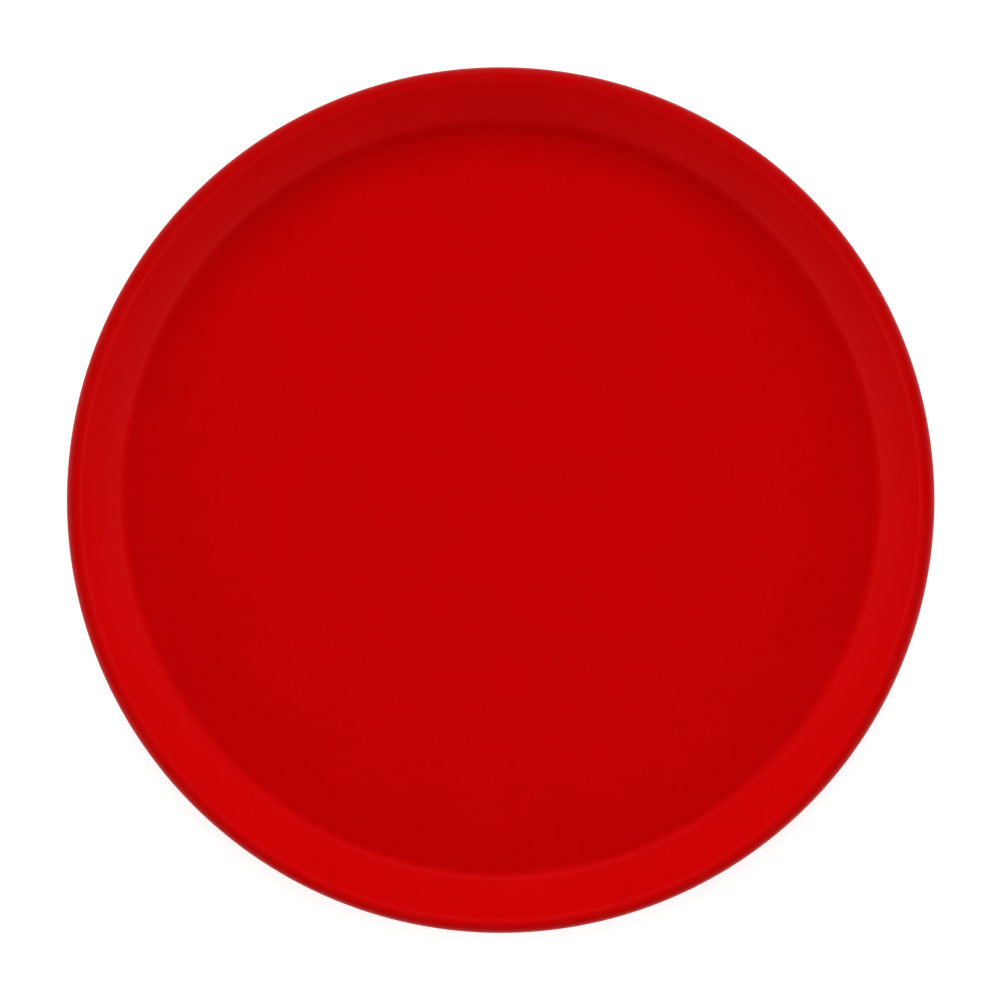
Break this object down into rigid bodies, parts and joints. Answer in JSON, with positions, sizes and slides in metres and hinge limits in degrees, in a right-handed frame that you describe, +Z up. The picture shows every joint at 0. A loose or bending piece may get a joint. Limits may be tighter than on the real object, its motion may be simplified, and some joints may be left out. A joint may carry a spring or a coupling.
{
  "type": "serving tray",
  "caption": "Round dished serving tray with a flat floor, a flaring wall and a rolled rim that holds a steel stiffening rod.",
  "frame": {"origin": "centre of the flat underside, on the surface that the tray stands on", "axes": "+Z up, out of the open side of the tray; X and Y are free, because the tray is the same all the way round"},
  "size_m": [0.355, 0.355, 0.021],
  "materials": {
    "red_laminate": "satin moulded glass-fibre laminate, red right through",
    "drawn_steel": "plain drawn rod, hidden in the rim"
  },
  "bodies": {
    "root": {"tray_shell": "red_laminate", "rim_rod": "drawn_steel"}
  },
  "joints": []
}
